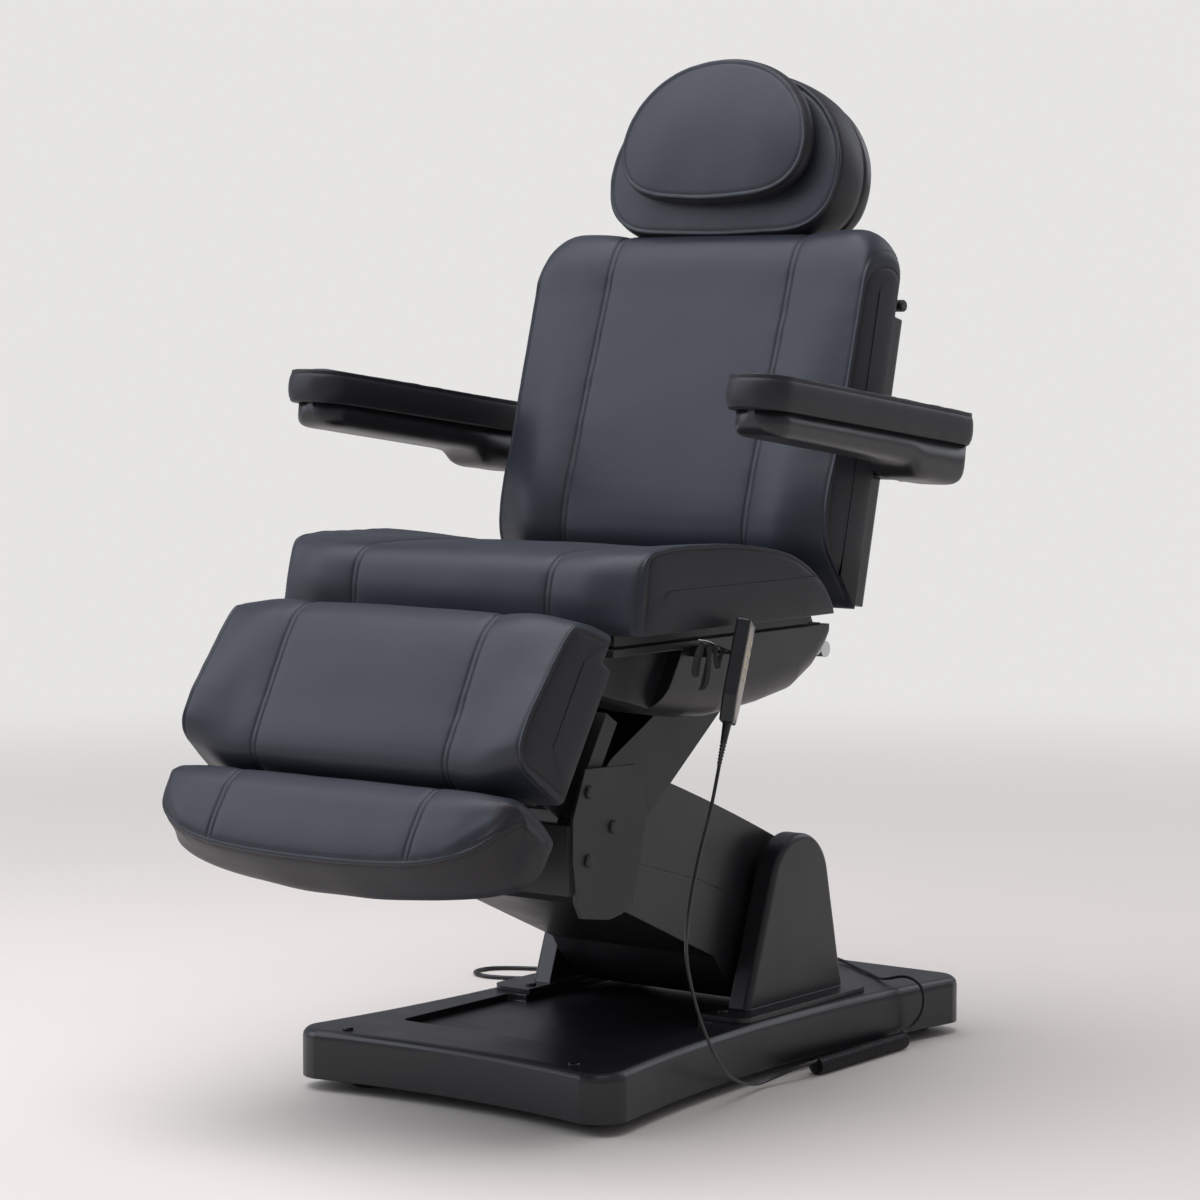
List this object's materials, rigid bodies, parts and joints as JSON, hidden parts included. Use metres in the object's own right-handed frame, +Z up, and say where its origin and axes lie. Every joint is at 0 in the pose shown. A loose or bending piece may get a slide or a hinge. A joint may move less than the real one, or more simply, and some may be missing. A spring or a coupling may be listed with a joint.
{
  "type": "tattoo chair",
  "caption": "Powered tattoo and treatment chair: padded seat, reclining back, headrest, folding armrests, hinged legrest and footrest on a scissor-arm lift over a flat waisted base.",
  "frame": {"origin": "on the floor at the middle of the whole chair's footprint box, cords left out", "axes": "+X to the sitter's left, +Y to the chair's rear, +Z up"},
  "size_m": [1.081, 1.3801, 1.4871],
  "materials": {
    "upholstery": "soft satin black synthetic leather",
    "moulded_cover": "fine textured black moulded plastic",
    "coated_steel": "satin black powder coat",
    "bright_steel": "ground steel",
    "actuator_tube": "satin black paint",
    "small_trim": "black moulded plastic",
    "keypad": "pale grey-brown keypad film",
    "foot_rubber": "matte rubber",
    "cord_sheath": "satin black cable sheath"
  },
  "bodies": {
    "base": {"base_frame": "coated_steel", "base_cover": "moulded_cover", "base_feet": "foot_rubber", "tower_cover_left": "moulded_cover", "tower_cover_right": "moulded_cover", "lift_axle": "bright_steel", "cover_screws": "small_trim", "control_box": "moulded_cover", "cable_glands": "small_trim", "handset_cord_curl": "cord_sheath", "handset_cord_tail": "cord_sheath", "mains_cord_run": "cord_sheath", "mains_cord_coil": "cord_sheath", "mains_plug": "small_trim"},
    "lower_arm": {"lower_arm_frame": "coated_steel", "lower_arm_upper_shell": "moulded_cover", "lower_arm_lower_shell": "moulded_cover", "knuckle_pin": "bright_steel", "lift_actuator": "actuator_tube"},
    "lift_rod": {"lift_rod": "bright_steel"},
    "upper_arm": {"upper_arm": "coated_steel"},
    "carriage": {"carriage_frame": "coated_steel", "pan": "moulded_cover", "carriage_pins": "bright_steel", "handset_hanger": "moulded_cover", "handset": "small_trim", "handset_cord_drop": "cord_sheath", "tilt_actuator": "actuator_tube", "back_actuator": "actuator_tube", "leg_actuator": "actuator_tube"},
    "tilt_rod": {"tilt_rod": "bright_steel"},
    "back_rod": {"back_rod": "bright_steel"},
    "leg_rod": {"leg_rod": "bright_steel"},
    "seat": {"seat_board": "coated_steel", "seat_cushion": "upholstery"},
    "legrest": {"leg_frame": "coated_steel", "leg_cushion": "upholstery"},
    "footrest": {"foot_frame": "coated_steel", "foot_cushion": "upholstery", "foot_bolts": "small_trim"},
    "backrest": {"back_frame": "coated_steel", "back_cushion": "upholstery", "back_cover": "moulded_cover", "push_handle": "coated_steel"},
    "headrest": {"head_posts": "bright_steel", "head_block": "upholstery", "head_shell": "moulded_cover", "head_pillow": "upholstery"},
    "armrest_left": {"arm_pad_left": "upholstery", "arm_base_left": "moulded_cover"},
    "armrest_right": {"arm_pad_right": "upholstery", "arm_base_right": "moulded_cover"},
    "key_1": {"key_1": "keypad"},
    "key_2": {"key_2": "keypad"},
    "key_3": {"key_3": "keypad"},
    "key_4": {"key_4": "keypad"},
    "key_5": {"key_5": "keypad"},
    "key_6": {"key_6": "keypad"},
    "key_7": {"key_7": "keypad"},
    "key_8": {"key_8": "keypad"}
  },
  "joints": [
    {"name": "lift", "type": "hinge", "parent": "base", "child": "lower_arm", "pos_m": [0, 0.262, 0.265], "axis": [1, 0, 0], "range_deg": [0, 15]},
    {"name": "knuckle", "type": "hinge", "parent": "lower_arm", "child": "upper_arm", "pos_m": [0, -0.12797, 0.43497], "axis": [1, 0, 0], "range_deg": [-30, 0]},
    {"name": "level", "type": "hinge", "parent": "upper_arm", "child": "carriage", "pos_m": [0, 0.15701, 0.62004], "axis": [1, 0, 0], "range_deg": [0, 15]},
    {"name": "lift_rod_slide", "type": "slide", "parent": "lower_arm", "child": "lift_rod", "axis": [0, 0.9167, -0.3995], "range_m": [0, 0.0452]},
    {"name": "seat_tilt", "type": "hinge", "parent": "carriage", "child": "seat", "pos_m": [0, 0.18701, 0.674], "axis": [-1, 0, 0], "range_deg": [0, 10]},
    {"name": "tilt_rod_slide", "type": "slide", "parent": "carriage", "child": "tilt_rod", "axis": [0, 0, 1], "range_m": [0, 0.0616]},
    {"name": "back_recline", "type": "hinge", "parent": "carriage", "child": "backrest", "pos_m": [0, 0.24101, 0.668], "axis": [-1, 0, 0], "range_deg": [0, 70]},
    {"name": "back_rod_slide", "type": "slide", "parent": "carriage", "child": "back_rod", "axis": [0, -1, 0], "range_m": [0, 0.0609]},
    {"name": "leg_raise", "type": "hinge", "parent": "seat", "child": "legrest", "pos_m": [0, -0.34799, 0.66], "axis": [-1, 0, 0], "range_deg": [0, 58]},
    {"name": "leg_rod_slide", "type": "slide", "parent": "carriage", "child": "leg_rod", "axis": [0, -1, 0], "range_m": [0, 0.0481]},
    {"name": "foot_extend", "type": "slide", "parent": "legrest", "child": "footrest", "axis": [0, -0.5299, -0.848], "range_m": [0, 0.1]},
    {"name": "head_extend", "type": "slide", "parent": "backrest", "child": "headrest", "axis": [0, 0.2419, 0.9703], "range_m": [0, 0.07]},
    {"name": "arm_left_lift", "type": "hinge", "parent": "backrest", "child": "armrest_left", "pos_m": [0, 0.30757, 0.88535], "axis": [-1, 0, 0], "range_deg": [-20, 97]},
    {"name": "arm_right_lift", "type": "hinge", "parent": "backrest", "child": "armrest_right", "pos_m": [0, 0.30757, 0.88535], "axis": [-1, 0, 0], "range_deg": [-20, 97]},
    {"name": "key_1_press", "type": "slide", "parent": "carriage", "child": "key_1", "axis": [-0.9063, -0.4008, 0.1341], "range_m": [0, 0.0007], "stiffness_N_per_m": 800, "springref_m": -0.0005},
    {"name": "key_2_press", "type": "slide", "parent": "carriage", "child": "key_2", "axis": [-0.9063, -0.4008, 0.1341], "range_m": [0, 0.0007], "stiffness_N_per_m": 800, "springref_m": -0.0005},
    {"name": "key_3_press", "type": "slide", "parent": "carriage", "child": "key_3", "axis": [-0.9063, -0.4008, 0.1341], "range_m": [0, 0.0007], "stiffness_N_per_m": 800, "springref_m": -0.0005},
    {"name": "key_4_press", "type": "slide", "parent": "carriage", "child": "key_4", "axis": [-0.9063, -0.4008, 0.1341], "range_m": [0, 0.0007], "stiffness_N_per_m": 800, "springref_m": -0.0005},
    {"name": "key_5_press", "type": "slide", "parent": "carriage", "child": "key_5", "axis": [-0.9063, -0.4008, 0.1341], "range_m": [0, 0.0007], "stiffness_N_per_m": 800, "springref_m": -0.0005},
    {"name": "key_6_press", "type": "slide", "parent": "carriage", "child": "key_6", "axis": [-0.9063, -0.4008, 0.1341], "range_m": [0, 0.0007], "stiffness_N_per_m": 800, "springref_m": -0.0005},
    {"name": "key_7_press", "type": "slide", "parent": "carriage", "child": "key_7", "axis": [-0.9063, -0.4008, 0.1341], "range_m": [0, 0.0007], "stiffness_N_per_m": 800, "springref_m": -0.0005},
    {"name": "key_8_press", "type": "slide", "parent": "carriage", "child": "key_8", "axis": [-0.9063, -0.4008, 0.1341], "range_m": [0, 0.0007], "stiffness_N_per_m": 800, "springref_m": -0.0005}
  ],
  "couplings": [
    {"joint": "knuckle", "follows": "lift", "ratio": -2},
    {"joint": "level", "follows": "lift", "ratio": 1},
    {"joint": "lift_rod_slide", "follows": "lift", "m_per_rad": 0.1722},
    {"joint": "tilt_rod_slide", "follows": "seat_tilt", "m_per_rad": 0.352},
    {"joint": "back_rod_slide", "follows": "back_recline", "m_per_rad": 0.0498},
    {"joint": "leg_rod_slide", "follows": "leg_raise", "m_per_rad": 0.0474}
  ]
}
